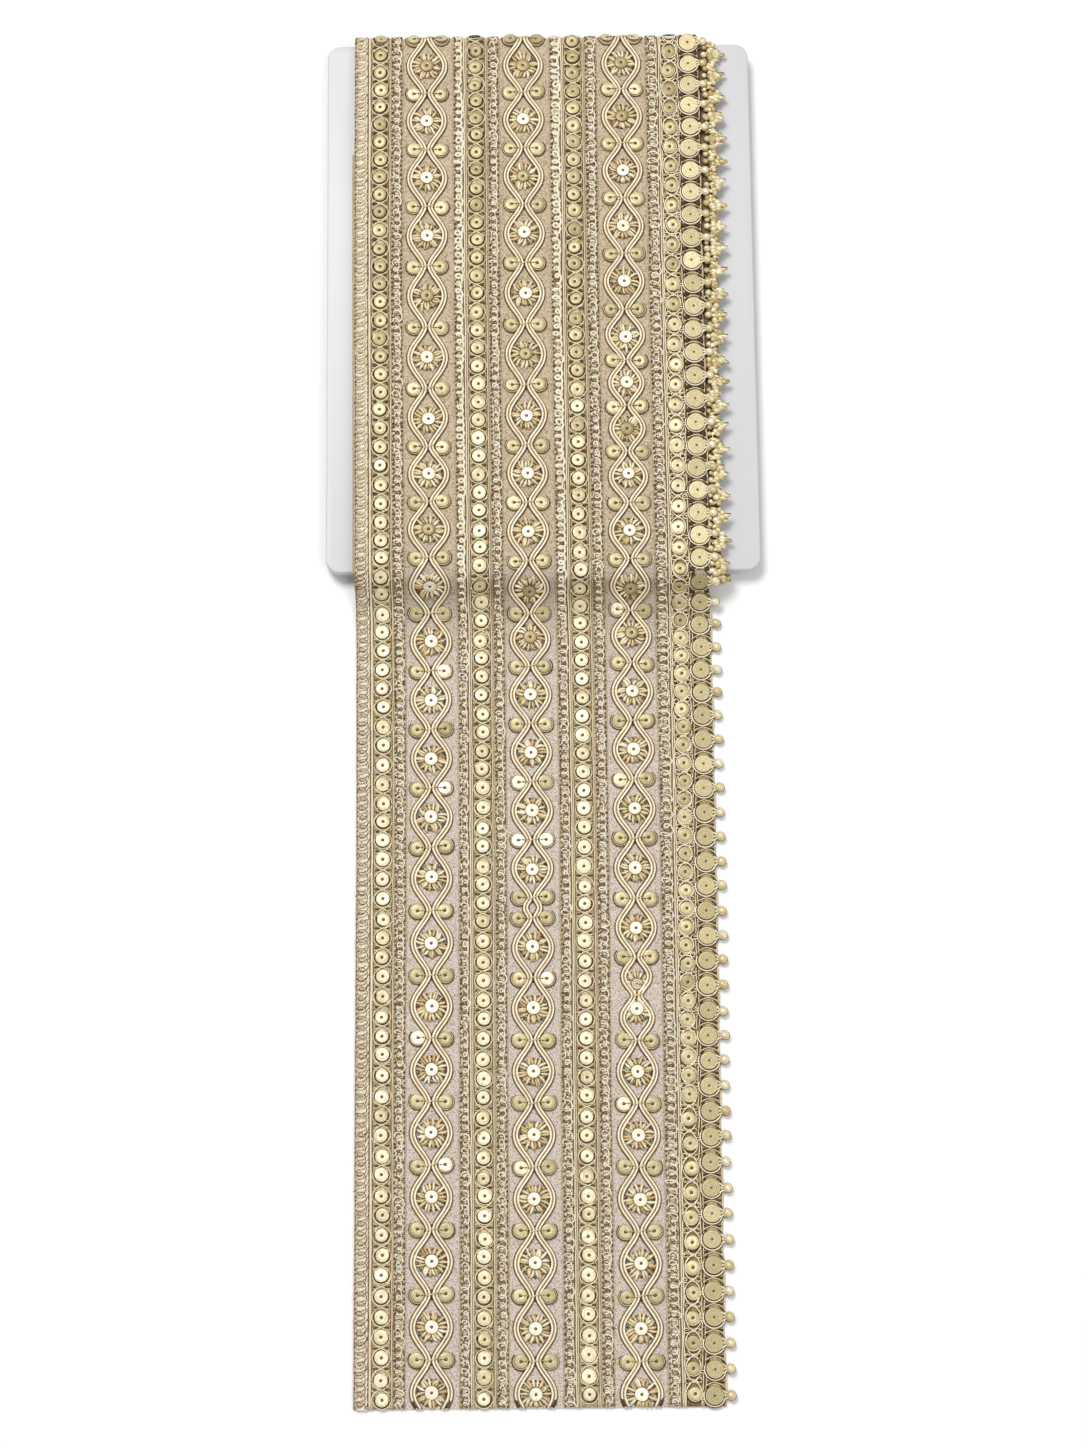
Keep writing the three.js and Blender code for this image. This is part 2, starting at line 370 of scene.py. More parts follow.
class Nodes:
    """A material's node tree, with short calls to add and join nodes."""

    def __init__(self, name):
        self.material = bpy.data.materials.new(name)
        self.material.use_nodes = True
        self.tree = self.material.node_tree
        self.shader = self.tree.nodes["Principled BSDF"]

    def add(self, kind, **values):
        node = self.tree.nodes.new(kind)
        for key, value in values.items():
            if key in node.inputs:
                node.inputs[key].default_value = value
            else:
                setattr(node, key, value)
        return node

    def join(self, out, into):
        self.tree.links.new(out, into)

    def ramp(self, factor, stops):
        node = self.add("ShaderNodeValToRGB")
        elements = node.color_ramp.elements
        while len(elements) < len(stops):
            elements.new(0.5)
        for element, (at, colour) in zip(elements, stops):
            element.position = at
            element.color = (*colour, 1)
        self.join(factor, node.inputs["Fac"])
        return node.outputs["Color"]

    def noise(self, scale, detail=2.0):
        place_in = self.add("ShaderNodeTexCoord").outputs["Object"]
        node = self.add("ShaderNodeTexNoise", Scale=scale, Detail=detail)
        self.join(place_in, node.inputs["Vector"])
        return node.outputs["Fac"]

    def tone(self):
        return self.add("ShaderNodeAttribute", attribute_name="tone").outputs["Fac"]

    def multiply(self, amount, a, b):
        node = self.add("ShaderNodeMix", data_type="RGBA", blend_type="MULTIPLY")
        node.inputs[0].default_value = amount
        self.join(a, node.inputs[6])
        self.join(b, node.inputs[7])
        return node.outputs[2]

    def bump(self, height, strength, distance):
        node = self.add("ShaderNodeBump", Strength=strength, Distance=distance)
        self.join(height, node.inputs["Height"])
        self.join(node.outputs["Normal"], self.shader.inputs["Normal"])

    def colour(self, socket):
        self.join(socket, self.shader.inputs["Base Color"])

    def set(self, **values):
        for key, value in values.items():
            self.shader.inputs[key.replace("_", " ")].default_value = value


def thread_material(name, stops, metallic, roughness, twist):
    """Twisted thread, from dark brown to bright cream by each thread's tone; the dark tones serve both
    brown stitches and painted shade between threads.
    """
    n = Nodes(name)
    base = n.ramp(n.tone(), stops)
    uneven = n.ramp(n.noise(420.0, 3.0), [(0.3, (0.9, 0.87, 0.82)), (0.6, (1, 1, 1))])
    n.colour(n.multiply(1.0, base, uneven))
    n.set(Metallic=metallic, Roughness=roughness)
    slant = n.add("ShaderNodeMapping")
    slant.inputs["Rotation"].default_value = (0.5, 0.0, 0.7)
    n.join(n.add("ShaderNodeTexCoord").outputs["Object"], slant.inputs["Vector"])
    wave = n.add("ShaderNodeTexWave", Scale=twist, Distortion=1.5)
    n.join(slant.outputs["Vector"], wave.inputs["Vector"])
    n.bump(wave.outputs["Fac"], 0.5, 0.00012)
    return n.material


def sequin_material():
    """Matt metallised film, from olive to near white by each sequin's tone."""
    n = Nodes("sequin_film")
    stops = [
        (0.0, (0.17, 0.12, 0.04)),
        (0.15, (0.34, 0.27, 0.12)),
        (0.35, (0.50, 0.42, 0.22)),
        (0.55, (0.68, 0.59, 0.34)),
        (0.78, (0.88, 0.80, 0.54)),
        (1.0, (0.99, 0.95, 0.82)),
    ]
    film = n.ramp(n.tone(), stops)
    speck = n.ramp(n.noise(1500.0, 3.0), [(0.38, (0.78, 0.74, 0.64)), (0.58, (1, 1, 1))])
    n.colour(n.multiply(0.8, film, speck))
    n.set(Metallic=0.15, Roughness=0.42)
    n.bump(n.noise(1200.0, 3.0), 0.35, 0.0001)
    return n.material


def bead_material():
    """Glossy gold, from brown to pearl by tone; the brown tones paint shade under the thread lumps and
    between the leaves.
    """
    n = Nodes("bead_pearl_gold")
    stops = [
        (0.0, (0.19, 0.12, 0.03)),
        (0.35, (0.52, 0.40, 0.17)),
        (0.65, (0.80, 0.69, 0.41)),
        (1.0, (0.97, 0.91, 0.72)),
    ]
    film = n.ramp(n.tone(), stops)
    speck = n.ramp(n.noise(700.0, 2.0), [(0.3, (0.8, 0.74, 0.62)), (0.62, (1, 1, 1))])
    n.colour(n.multiply(0.8, film, speck))
    n.set(Metallic=0.2, Roughness=0.26)
    n.bump(n.noise(1400.0, 3.0), 0.6, 0.0003)
    return n.material


def net_material():
    """Sheer net: small open cells between fine threads, darker by tone where shadow is painted on it and
    browner where the layers beneath show through.
    """
    n = Nodes("sheer_net")
    where = n.add("ShaderNodeTexCoord").outputs["Object"]
    cells = n.add("ShaderNodeTexVoronoi", feature="DISTANCE_TO_EDGE", Scale=2600.0)
    n.join(where, cells.inputs["Vector"])
    strand = n.add("ShaderNodeMapRange")
    strand.inputs["From Min"].default_value = 0.05
    strand.inputs["From Max"].default_value = 0.3
    strand.inputs["To Min"].default_value = 0.98
    strand.inputs["To Max"].default_value = 0.7
    n.join(cells.outputs["Distance"], strand.inputs["Value"])
    n.join(strand.outputs["Result"], n.shader.inputs["Alpha"])
    shades = [(0.0, (0.60, 0.50, 0.36)), (0.5, (0.54, 0.48, 0.39)), (1.0, (0.67, 0.60, 0.53))]
    specks = [(0.36, (0.52, 0.42, 0.3)), (0.47, (0.9, 0.86, 0.8)), (0.6, (1.06, 1.06, 1.06))]
    shade = n.ramp(n.tone(), shades)
    n.colour(n.multiply(1.0, shade, n.ramp(n.noise(2500.0, 3.0), specks)))
    n.set(Roughness=0.75)
    n.bump(cells.outputs["Distance"], 0.4, 0.0002)
    return n.material


def pad_material():
    """Close ground stitches, from brown through tan and pale green to cream by tone."""
    n = Nodes("ground_stitch")
    stops = [
        (0.0, (0.05, 0.03, 0.01)),
        (0.3, (0.38, 0.26, 0.10)),
        (0.6, (0.58, 0.50, 0.30)),
        (1.0, (0.90, 0.84, 0.72)),
    ]
    grain = n.noise(1500.0, 4.0)
    speck = n.ramp(grain, [(0.36, (0.55, 0.45, 0.3)), (0.52, (0.9, 0.87, 0.8)), (0.64, (1, 1, 1))])
    n.colour(n.multiply(1.0, n.ramp(n.tone(), stops), speck))
    n.set(Metallic=0.1, Roughness=0.6)
    n.bump(grain, 0.8, 0.0003)
    return n.material


def board_material():
    n = Nodes("white_board")
    shades = [(0.3, (0.585, 0.585, 0.595)), (0.7, (0.615, 0.615, 0.625))]
    n.colour(n.ramp(n.noise(25.0, 4.0), shades))
    n.set(Roughness=0.45)
    n.bump(n.noise(1200.0, 5.0), 0.08, 0.0001)
    return n.material


# Thread colours by tone. The darkest tones are mostly laid as thin threads of painted shade beside and
# between the bright ones.
GOLD = [
    (0.0, (0.045, 0.022, 0.006)),
    (0.2, (0.24, 0.125, 0.03)),
    (0.4, (0.46, 0.30, 0.12)),
    (0.6, (0.67, 0.50, 0.25)),
    (0.8, (0.84, 0.70, 0.43)),
    (1.0, (0.98, 0.90, 0.70)),
]
PALE = [
    (0.0, (0.06, 0.03, 0.008)),
    (0.2, (0.27, 0.135, 0.045)),
    (0.4, (0.47, 0.32, 0.16)),
    (0.6, (0.66, 0.55, 0.33)),
    (0.8, (0.79, 0.69, 0.46)),
    (1.0, (0.94, 0.87, 0.69)),
]
CORD = thread_material("gold_cord", GOLD, 0.1, 0.36, 900.0)
THREAD = thread_material("pale_thread", PALE, 0.05, 0.45, 1300.0)
SEQUIN = sequin_material()
BEAD = bead_material()
NET = net_material()
PAD = pad_material()
BOARD = board_material()


# Places along the trim.


def centres_of(first, runs):
    """Places that follow the first at each run's pitch, and one before the cut."""
    out = [first - runs[0][1], first]
    for count, pitch in runs:
        for _ in range(count):
            out.append(out[-1] + pitch)
    return [s for s in out if s < NEEDLEWORK_END + 25]


def stepped(first, pitches, end):
    """pitches rows are (as far as s, pitch)."""
    out, s = [], first
    while s < end:
        out.append(s)
        s += next(pitch for limit, pitch in pitches if s < limit)
    return np.array(out)


FOREVER = 1e6
# The first sequin of each row and the row's pitch.
SMALL_RUNS = [(2.6, 5.6), (2.3, 5.55), (3.2, 5.5)]
SMALL_AT = [stepped(first, [(FOREVER, pitch)], NEEDLEWORK_END) for first, pitch in SMALL_RUNS]
LARGE_AT = stepped(2.8, [(195, 7.14), (276, 6.78), (355, 7.16), (FOREVER, 6.9)], NEEDLEWORK_END)
SCROLL_AT = stepped(3.4, [(85, 6.9), (235, 5.3), (FOREVER, 6.2)], NEEDLEWORK_END)


def shimmer(s, u, r):
    """A slow drift of brightness along the trim, plus each sequin's own."""
    drift = 0.77 - 0.44 * ease(s, NEAR_EDGE + 5, FAR_EDGE - 60)
    drift = drift + 0.05 * np.sin(s / 31.0 + u) + 0.04 * np.sin(s / 9.0 + 2 * u)
    return np.clip(drift + r.normal(0, 0.09, len(s)), 0.1, 0.8)


def shade_swell(s, more=0.5):
    """Painted brown shade, laid as dark threads between the bright ones, is drawn thicker where the trim
    is wound on the board.
    """
    return 1 + more * ease(np.asarray(s, float), NEAR_EDGE - 15, NEAR_EDGE + 15)


def wander(r, t, every, amount):
    """A thread's small stray, the same between one stitch and the next."""
    knots = t[::every]
    return np.interp(t, knots, r.normal(0, amount, len(knots)))


def tilts(r, count, amount):
    return r.normal(0, amount, (count, 2))


# Sequins. Each tone row goes with the same row of the profile.


def disc(radius, hole=0.42, thickness=0.12, cup=0.07):
    """A sequin's profile: a ring, a little dished, closed underneath."""
    edge = radius - 0.1
    return [
        (hole, -0.02),
        (hole + 0.14, 0.03),
        (edge, cup),
        (radius, cup - thickness * 0.5),
        (edge, cup - thickness),
        (hole, -thickness),
    ]


DISC_SHADE = np.array([-0.35, 0.12, -0.02, -0.3, -0.3, -0.3])


def ridged_disc(radius, hole=0.3, ridges=4, rise=0.07):
    """A large sequin's profile, pressed with rings."""
    top = [(hole, -0.03)]
    for i in range(ridges * 2 + 1):
        t = i / (ridges * 2)
        top.append((hole + 0.1 + (radius - 0.25 - hole) * t, rise * (i % 2)))
    return top + [(radius, -0.05), (hole, -0.14)]


RIDGE_SHADE = np.array([-0.3] + [-0.13, 0.12] * 4 + [-0.1, -0.25, -0.3])


def shaded(tone, shade):
    return np.clip(np.asarray(tone)[:, None] + shade, 0, 1)


def lay_sequins(soup, s, u, h, radii, tone, tilt, around=16):
    profile = np.array([disc(radius) for radius in radii])
    soup.turned(s, u, h, profile, around, tilt, shaded(tone, DISC_SHADE), True)


def knots_in_holes(soup, s, u, h):
    """The dark thread that shows in each sequin's hole."""
    flat = np.zeros((len(s), 2))
    soup.turned(s, u, h, [(0.01, 0.05), (0.55, -0.08), (0.01, -0.12)], 6, flat, 0.24, False, False)


def arcs(soup, s, u, h, radius, start, stop, wire, tone, points=9, sides=3):
    """Cords bent part of the way round places; degrees turn from the right edge to the far end."""
    turn = np.radians(np.linspace(start, stop, points))
    radius = np.broadcast_to(np.asarray(radius, float), np.shape(s))[:, None]
    arc_s = s[:, None] + radius * np.sin(turn)
    soup.tubes(arc_s, u[:, None] + radius * np.cos(turn), h, wire, sides, tone)


def crossing_cords(soup, t, s, centre, reach, wire, h, tone, stray=0.0):
    """Two cords that pass on either side of each sequin and cross between neighbours."""
    phase = np.interp(t, s, np.arange(len(s)))
    swing = np.cos(math.pi * phase)
    swing = np.sign(swing) * np.abs(swing) ** 0.62
    for sign in (1, -1):
        over = 0.16 * (sign > 0) * (1 - swing**2)
        soup.tubes(t, centre + sign * reach * swing + stray, h + over, wire, 4, tone)


def lace_stitches(soup, s, u, h, r):
    """Short loose stitches, each with its own slant and its own brightness."""
    part = np.linspace(-0.5, 0.5, 3)
    slant, length = r.normal(0, 0.9, (2, len(s), 1))
    at = s[:, None] + r.normal(0, 0.2, (len(s), 1)) + slant * part
    bright = np.clip(r.normal(0.75, 0.2, len(s)), 0, 1)
    soup.tubes(at, u + (1.3 + 0.3 * length) * part, h, 0.17, 3, bright)


def rungs(soup, s, u, length, h, wire, tone):
    """Short straight stitches across the trim."""
    half = np.array([-0.5, 0.5]) * length
    soup.tubes(s[:, None] + 0 * half, u + half + 0 * s[:, None], h, wire, 4, tone)


def small_sequins(index, centre):
    s = SMALL_AT[index - 1]
    r = rng(100 + index)
    sequins, cords = Soup(), Soup()
    count = len(s)
    spots = s + r.normal(0, 0.22, count)
    u = centre + r.normal(0, 0.13, count)
    size = 1.94 + r.normal(0, 0.09, count)
    lay_sequins(sequins, spots, u, 0.62, size, shimmer(spots, centre, r), tilts(r, count, 0.1))
    sequins.build(f"small_sequins_{index}", SEQUIN, "sequin", [f"sequin_row_{index}"])
    t = run_of(0.65)
    crossing_cords(cords, t, s, centre, 2.45, 0.23, 0.32, 0.78, wander(r, t, 5, 0.08))
    # Painted shade: a dark arc under each sequin's ring, thicker on the board.
    arcs(cords, spots, u, 0.42, 2.22, -205, 25, 0.2 * shade_swell(spots)[:, None], 0.06)
    arcs(cords, spots, u, 0.5, 2.5, -170, -10, 0.2, 0.95)
    gaps = (s[1:] + s[:-1]) / 2
    # Dark rungs in the gaps between sequins are painted shade; shade is their radius.
    shade = 0.28 * shade_swell(gaps, 0.9)[:, None]
    for side in (-1, 1):
        length = 1.2 + r.normal(0, 0.2, (len(gaps), 1))
        rungs(cords, gaps, centre + side * 1.6, length, 0.2, shade, 0.06)
        for step in (-0.75, 0.75):
            lace_stitches(cords, gaps + step, centre + side * 1.75, 0.5, r)
    t = run_of(1.7)
    for side in (-1, 1):
        edge = centre + side * 2.88 + wander(r, t, 3, 0.05)
        cords.tubes(t, edge, 0.24, 0.18, 4, 0.78)
        # Painted shade: a dark thin line inside each edge cord.
        cords.tubes(t, edge - side * 0.3, 0.14, 0.13, 3, 0.2)
    knots_in_holes(cords, spots, u, 0.5)
    cords.build(f"sequin_rings_{index}", CORD, "cord")


# Ogee columns.


LONG_GAP = 21.0
# Where a long gap between eyelets has two waists, these lie so far from its middle.
DOUBLE_WAISTS = {1: (0.0, 0.0), 2: (-2.9, 2.9), 3: (-7.8, 3.1)}
# Eyelets counted from the cut whose middle sequin is dull, and a small flower with none.
DULL_EYELETS = {1: [15, 19, 23], 2: [13, 14, 18, 21, 23], 3: [13, 14, 17, 23, 24]}
SPARE_FLOWERS = {1: [], 2: [], 3: [117.6]}
# Waists with no sequins beside them.
BARE_WAISTS = {1: [], 2: [], 3: [114.3]}


def ogee_waists(middles, index):
    waists = []
    for a, b in zip(middles, middles[1:]):
        shifts = DOUBLE_WAISTS[index] if b - a > LONG_GAP else (0.0,)
        waists += [(a + b) / 2 + shift for shift in shifts]
    return np.array(waists)


def ogee_half_width(s, waists):
    """From the middle line to the inner cord, wider where the waists lie further apart."""
    i = np.clip(np.searchsorted(waists, s) - 1, 0, len(waists) - 2)
    length = waists[i + 1] - waists[i]
    swell = 0.5 - 0.5 * np.cos(2 * math.pi * (s - waists[i]) / length)
    return 0.4 + 4.3 * np.minimum(length / 16.0, 1.0) ** 1.2 * np.clip(swell, 0, 1) ** 0.85


def ogee_cords(soup, centre, waists, index, r):
    t = run_of(0.85)
    half = ogee_half_width(t, waists)
    lean = np.sqrt(1 + np.gradient(half, t) ** 2)
    # Each row is how far outside the inner cord, height, radius, tone and sides. The first two rows are
    # the bright cords; the last three are dark threads of painted shade, between the cords and beside
    # them.
    strands = [
        (0.0, 0.5, 0.33, 1.0, 5),
        (0.9, 0.46, 0.32, 0.95, 5),
        (0.45, 0.46, 0.18, 0.36, 3),
        (-0.42, 0.2, 0.22, 0.07, 3),
        (1.32, 0.16, 0.2, 0.12, 3),
    ]
    for side in (-1, 1):
        slip = 0.08 * np.sin(t / 7.0 + side + index) + wander(r, t, 9, 0.05)
        for out, h, wire, tone, sides in strands:
            soup.tubes(t, centre + side * (half + out * lean) + slip, h, wire, sides, tone)
    # Past the last flower the cords end in near-black stubs at the cut, thickest at the cut.
    t = np.linspace(0.2, 3.0, 6)
    for side in (-1, 1):
        dark_stub = centre + side * (ogee_half_width(t, waists) + 0.95)
        soup.tubes(t, dark_stub, 0.5, [0.42, 0.42, 0.4, 0.34, 0.22, 0.1], 5, 0.02)
    knots = waists[(waists > 0) & (waists < NEEDLEWORK_END)]
    across = np.linspace(-1.5, 1.5, 7)
    bow = 0.74 + 0.22 * np.cos(across / 1.5 * math.pi / 2)
    soup.tubes(knots[:, None] + 0.3 * across, centre + across + 0.0 * knots[:, None], bow, 0.17, 4, 0.75)
    # Painted shade: a near-black line along each waist, where the cords close in.
    gap = np.linspace(-1.5, 1.5, 3)
    soup.tubes(knots[:, None] + gap, centre + 0.0 * gap, 0.22, [0.12, 0.32, 0.12], 4, 0.03)
    return knots


def ogee_column(index, centre, first, runs):
    r = rng(300 + index)
    middles = centres_of(first, runs)
    waists = ogee_waists(middles, index)
    cords, flowers, pads, sequins = Soup(), Soup(), Soup(), Soup()
    knots = ogee_cords(cords, centre, waists, index, r)
    cords.build(f"ogee_cords_{index}", CORD, "cord", [f"ogee_cord_{index}"])

    shown = [(i, s) for i, s in enumerate(middles) if 0.5 < s < NEEDLEWORK_END - 1]
    spots = np.array([s for _, s in shown])
    for s in spots[in_sight(spots)].tolist() + SPARE_FLOWERS[index]:
        petals(flowers, s, centre, waists, r)
    spare = np.array(SPARE_FLOWERS[index])
    for radius in (0.65, 1.25) if len(spare) else ():
        arcs(flowers, spare, spare * 0 + centre, 0.5, radius, 0, 330, 0.3, 0.9, 11, 4)
    shape = np.array([(0.01, 0.09), (2.2, 0.08), (4.0, 0.02), (3.7, -0.03), (0.01, -0.03)])
    inside_cut = np.clip((spots - 0.2) / 4.0, 0.2, 1.0)
    shape = shape * np.stack([inside_cut, np.ones(len(spots))], -1)[:, None]
    flat = np.zeros((len(spots), 2))
    pads.turned(spots, np.full(len(spots), centre), 0.1, shape, 20, flat, 0.8, False, False)
    pads.build(f"flower_pads_{index}", PAD, "thread")

    count = len(shown)
    spots = spots + r.normal(0, 0.12, count)
    tone = np.array([0.2 if i in DULL_EYELETS[index] else 0.93 for i, _ in shown])
    u = centre + r.normal(0, 0.1, count)
    size = 1.88 + r.normal(0, 0.04, count)
    lay_sequins(sequins, spots, u, 0.9, size, tone + r.normal(0, 0.03, count), tilts(r, count, 0.04))
    knots_in_holes(flowers, spots, u, 0.8)
    bare = [any(abs(s - other) < 1.5 for other in BARE_WAISTS[index]) for s in knots]
    side_sequins(sequins, flowers, knots[~np.array(bare)], centre, r)
    flowers.build(f"flower_stitches_{index}", CORD, "cord")
    sequins.build(f"ogee_sequins_{index}", SEQUIN, "sequin")


def petals(soup, s, centre, waists, r):
    """Stubby stitches that stand out all round a middle sequin, with dark threads of painted shade
    between them.
    """
    around = 18
    angle = (np.arange(around) + 0.5 + r.normal(0, 0.17, around)) * 2 * math.pi / around
    reach = 4.1 + 0.3 * np.abs(np.sin(angle)) + r.normal(0, 0.3, around)
    room = ogee_half_width(s + reach * np.cos(angle), waists) - 0.1
    reach = np.minimum(reach, np.maximum(room / np.maximum(np.abs(np.sin(angle)), 0.1), 2.6))
    to_cut = np.where(np.cos(angle) < 0, (s - 0.3) / np.maximum(-np.cos(angle), 0.05), 99.0)
    reach = np.minimum(reach, np.maximum(to_cut, 1.9))
    part = np.linspace(0, 1, 4)
    out = 1.75 + (reach[:, None] - 1.75) * part
    bend = angle[:, None] + r.normal(0, 0.16, (around, 1)) * part**2
    height = 0.26 + 0.2 * np.sin(part * math.pi * 0.85) ** 0.6 + 0 * out
    swell = 0.33 + 0.07 * np.sin(part * math.pi) + r.normal(0, 0.04, (around, 1))
    bright = np.clip(0.76 + r.normal(0, 0.13, around), 0, 1)
    soup.tubes(s + out * np.cos(bend), centre + out * np.sin(bend), height, swell, 5, bright)
    # Painted shade: short dark threads between the petals, near the sequin and near their tips, with a
    # paler one between.
    split = angle + math.pi / around
    for low, high, wire, tone in ((1.95, 2.7, 0.3, 0.08), (2.8, 3.3, 0.2, 0.7), (3.4, 3.9, 0.27, 0.1)):
        gap = np.array([low, high]) + r.normal(0, 0.15, (around, 1))
        gap_s = gap * np.cos(split)[:, None]
        gap_u = gap * np.sin(split)[:, None]
        near = (np.abs(gap_u[:, 1]) < np.maximum(room, 2.0)) & (s + gap_s[:, 1] > 0.3)
        soup.tubes(s + gap_s[near], centre + gap_u[near], 0.32, wire, 3, tone)


def side_sequins(sequins, cords, knots, centre, r):
    """A sequin at each side of each waist, sewn to it, with cords round its outer side."""
    for side in (-1, 1):
        count = len(knots)
        s = knots + r.normal(0, 0.18, count)
        u = centre + side * (3.9 + r.normal(0, 0.12, count))
        on_board = ease(s, NEAR_EDGE - 5, NEAR_EDGE + 20)
        bright = r.random(count) < 0.12 + 0.3 * on_board
        tone = np.where(bright, 0.85 - 0.32 * on_board, 0.38) + r.normal(0, 0.06, count)
        size = 1.98 + r.normal(0, 0.05, count)
        lay_sequins(sequins, s, u, 0.5, size, tone, tilts(r, count, 0.05))
        knots_in_holes(cords, s, u, 0.4)
        start, stop = (-150, 55) if side > 0 else (-235, -30)
        arcs(cords, s, u, 0.36, 2.2 + r.normal(0, 0.04, count), start, stop, 0.16, 0.8)
        # Painted shade: a dark arc outside the bright cord.
        arcs(cords, s, u, 0.26, 2.5 + r.normal(0, 0.05, count), start + 10, stop - 5, 0.2, 0.1)
        for begin in (0.4, 1.35, 2.3):
            rungs(cords, s, u[:, None] - side * begin, 0.45, 0.72, 0.15, 0.06)
        whole = np.linspace(0, 2.9, 3)
        cords.tubes(s[:, None] + 0.12 + 0 * whole, u[:, None] - side * whole, 0.64, 0.13, 3, 0.75)


# Thread bands.


def looping(pitch, points):
    """How far along and how far round a looping thread is, with so many points a loop."""
    count = int((FAR_EDGE + 8) / pitch)
    angle = np.arange(count * points) / points * 2 * math.pi
    return angle / (2 * math.pi) * pitch, angle


def edge_dots(soup, r, u, pitch, tone, wire=0.25):
    """Short slanting brown stitches one after another."""
    s = np.arange(0.6, NEEDLEWORK_END, pitch)
    s = s + r.normal(0, 0.15, len(s))
    # The brown stitches are drawn thicker on the board; the extra width is painted shade between the
    # threads.
    wire = wire * shade_swell(s, 0.35)[:, None]
    part = np.array([-0.5, 0.0, 0.5])
    slant = r.normal(0.4, 0.25, (len(s), 1))
    dull = np.clip(tone + r.normal(0, 0.08, len(s)), 0, 1)
    across = u + slant * part + r.normal(0, 0.07, (len(s), 1))
    soup.tubes(s[:, None] + 0.7 * part, across, 0.36, wire[:, :1] * np.array([0.45, 1.0, 0.45]), 4, dull)


BRIGHT_RIGHT_BORDER = (2, 4, 6)
FULL_ON_THE_BOARD = (2, 4)


def thread_band(index, low, high):
    r = rng(500 + index)
    soup = Soup()
    centre, half = (low + high) / 2, (high - low) / 2
    t = run_of(1.7)
    for side in (-1, 1):
        edge = centre + side * (half - 0.22) + wander(r, t, 2, 0.07)
        if side > 0 and index in BRIGHT_RIGHT_BORDER:
            soup.tubes(t, edge, 0.34, 0.26, 4, 0.88)
            # Painted shade: a dark thin line between the two bright border cords.
            soup.tubes(t, edge - 0.38, 0.28, 0.14, 3, 0.16)
            soup.tubes(t, edge - 0.74, 0.32, 0.2, 4, 0.8)
            edge_dots(soup, r, centre + half - 1.35, 1.4, 0.15)
        else:
            soup.tubes(t, edge, 0.26, 0.17, 3, 0.6)
            edge_dots(soup, r, centre + side * (half - 0.6), 1.4, 0.13)
    s, angle = looping(2.25, 8)
    reach = (half - 0.95) * (1 + wander(r, s, 6, 0.25))
    sway = 1.0 + wander(r, s, 9, 0.3)
    mottle = np.clip(1.02 + wander(r, s, 3, 0.12), 0, 1)[None]
    lively = 0.18 * (index in FULL_ON_THE_BOARD)
    thick = 0.27 + lively * ease(s, NEAR_EDGE - 20, NEAR_EDGE)
    across = centre + reach * np.cos(angle) + wander(r, s, 5, 0.2)
    soup.tubes(s + sway * np.sin(angle), across, 0.42 + 0.07 * np.sin(angle), thick, 4, mottle)
    s, angle = looping(1.75, 4)
    zigzag = 2 / math.pi * np.arcsin(np.sin(angle + index))
    mottle = np.clip(0.85 + wander(r, s, 2, 0.25), 0, 1)[None]
    soup.tubes(s, centre + (half - 0.5) * zigzag + wander(r, s, 3, 0.16), 0.28, 0.22, 3, mottle)
    s, angle = looping(2.6, 6)
    curl = half - 0.9 + wander(r, s, 5, 0.2)
    across = centre + curl * np.sin(angle) + wander(r, s, 4, 0.2)
    soup.tubes(s + 0.95 * np.cos(angle), across, 0.56, 0.17, 3, 0.14)
    soup.build(f"band_threads_{index}", THREAD, "thread", [f"thread_band_{index}"])


def edge_braid():
    r = rng(40)
    soup = Soup()
    low, high = EDGE_BRAID
    t = run_of(1.7)
    # Each row is place across, height, radius, tone and sides. The second row is a dark thin line of
    # painted shade beside the bright border cord.
    lines = [
        (high - 0.22, 0.36, 0.28, 0.92, 5),
        (high - 0.62, 0.24, 0.15, 0.16, 3),
        (0.62, 0.24, 0.17, 0.78, 4),
        (0.2, 0.2, 0.15, 0.5, 3),
    ]
    for u, lift, wire, tone, sides in lines:
        soup.tubes(t, low + u + wander(r, t, 2, 0.06), lift, wire, sides, tone)
    edge_dots(soup, r, 0.42, 1.35, 0.14, 0.2)
    edge_dots(soup, r, 3.75, 2.6, 0.2, 0.2)
    starts = np.arange(-1.5, NEEDLEWORK_END - 3, 1.3)
    starts = starts + r.normal(0, 0.12, len(starts))
    part = np.linspace(0, 1, 5)
    rise = 2.5 + r.normal(0, 0.3, (len(starts), 1))
    stroke_s = np.clip(starts[:, None] + rise * part**1.7, 0, None)
    stroke_u = 0.85 + 2.9 * np.sin(part * math.pi / 2) ** 0.9 + 0 * stroke_s
    bright = np.clip(1.0 - np.abs(r.normal(0, 0.08, len(starts))), 0, 1)
    soup.tubes(stroke_s, stroke_u, 0.22 + 0.16 * np.sin(part * math.pi), 0.34, 4, bright)
    s, angle = looping(2.75, 8)
    loop = 1.3 + wander(r, s, 6, 0.12)
    drift = wander(r, s, 5, 0.15)
    brown = 0.22 + 0.33 * ease(s, NEAR_EDGE, NEAR_EDGE + 15)
    for inset, wire, tone in ((0.0, 0.15, brown[None]), (0.3, 0.17, 0.95)):
        across = 2.15 + (loop - inset) * np.cos(angle) + drift
        height = 0.58 + 0.05 * np.sin(angle)
        soup.tubes(s + (1.15 - inset) * np.sin(angle), across, height, wire, 3, tone)
    soup.build("edge_braid_threads", THREAD, "thread", ["edge_braid"])


# Scroll band and bead edging.


